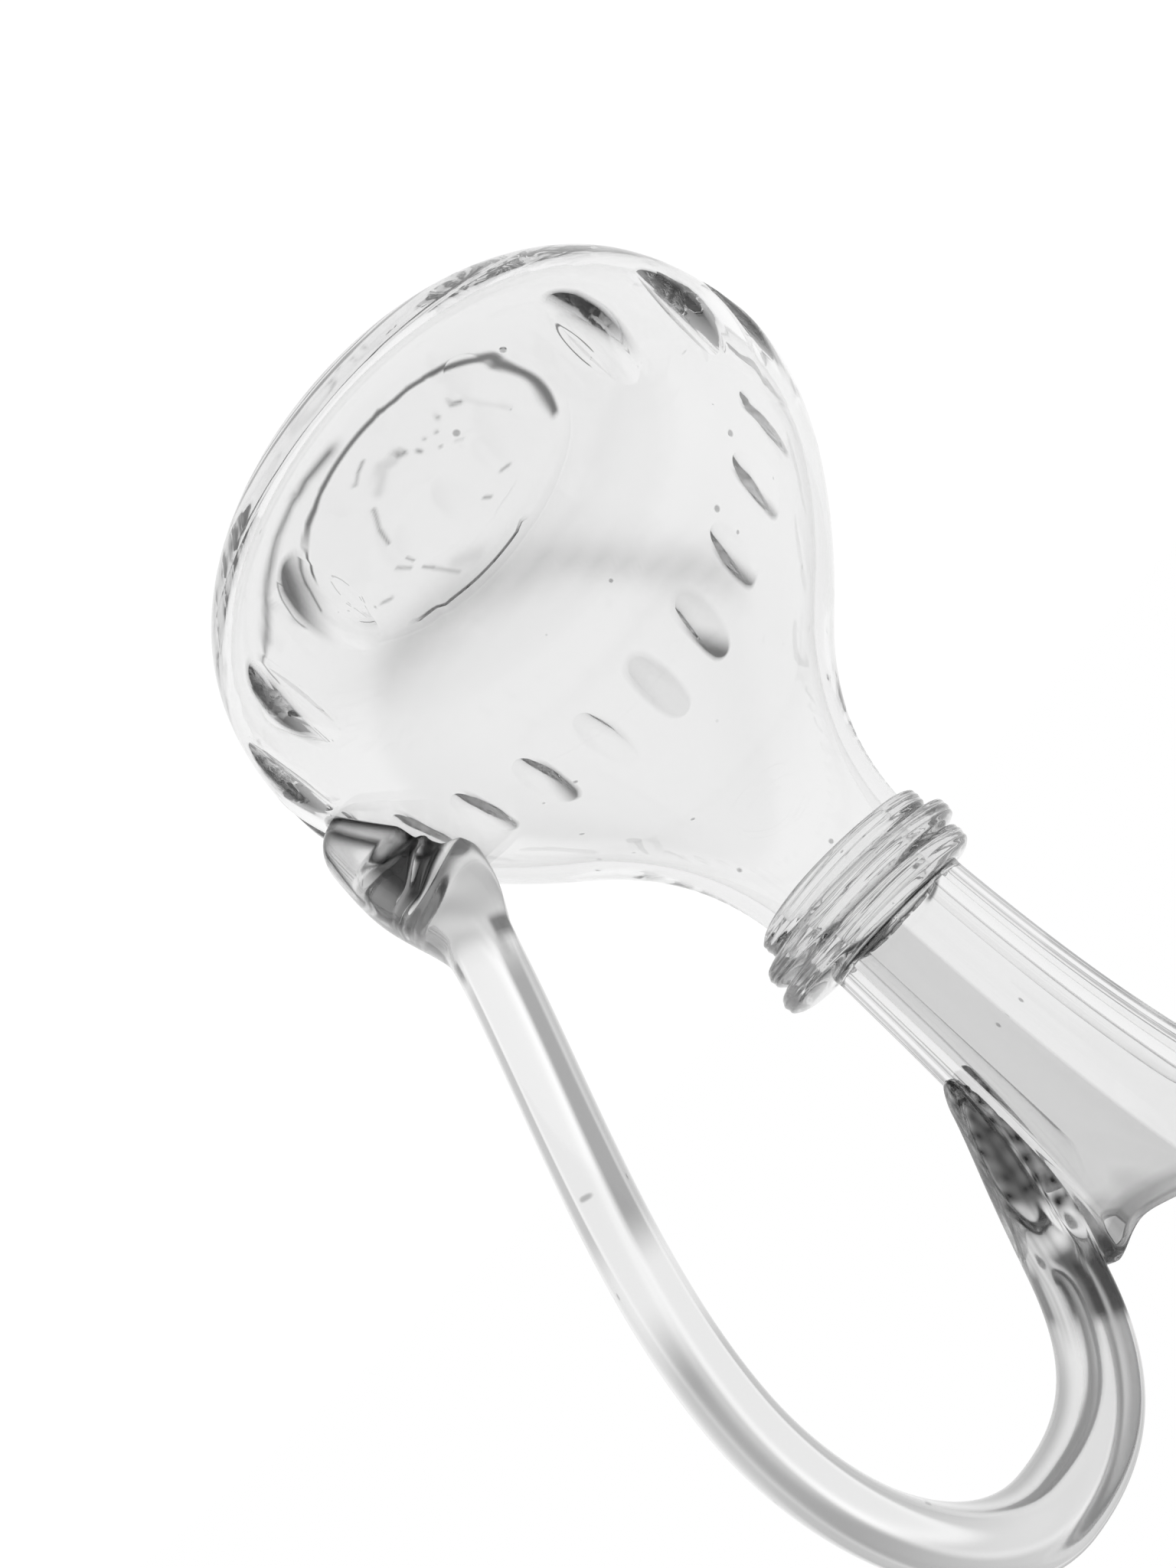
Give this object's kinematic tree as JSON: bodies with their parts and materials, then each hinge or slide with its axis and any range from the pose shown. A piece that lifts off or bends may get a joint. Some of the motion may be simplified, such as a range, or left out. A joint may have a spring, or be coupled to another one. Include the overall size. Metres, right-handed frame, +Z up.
{
  "type": "glass carafe",
  "caption": "Clear hand-blown glass carafe: a round bulb ground with upright ovals, a panelled neck with raised rings, a rising pouring lip and a looped strap handle.",
  "frame": {"origin": "middle of the carafe's outline, handle included, on the surface it stands on", "axes": "+Z up; +X from the vessel's axis towards the handle, with the spout towards -X; +Y across the handle"},
  "size_m": [0.1623, 0.146, 0.2335],
  "materials": {
    "vessel_glass": "clear colourless blown glass, fire polished, with a few seeds; ovals and neck panels ground and polished",
    "ring_glass": "clear colourless glass thread, laid on hot, slightly uneven",
    "handle_glass": "clear colourless drawn glass with fine drawing lines and a crimped landing"
  },
  "bodies": {
    "root": {"vessel": "vessel_glass", "neck_ring_lower": "ring_glass", "neck_ring_middle": "ring_glass", "neck_ring_upper": "ring_glass", "handle_lower_pad": "handle_glass", "handle_strap": "handle_glass", "handle_upper_pad": "handle_glass"}
  },
  "joints": []
}
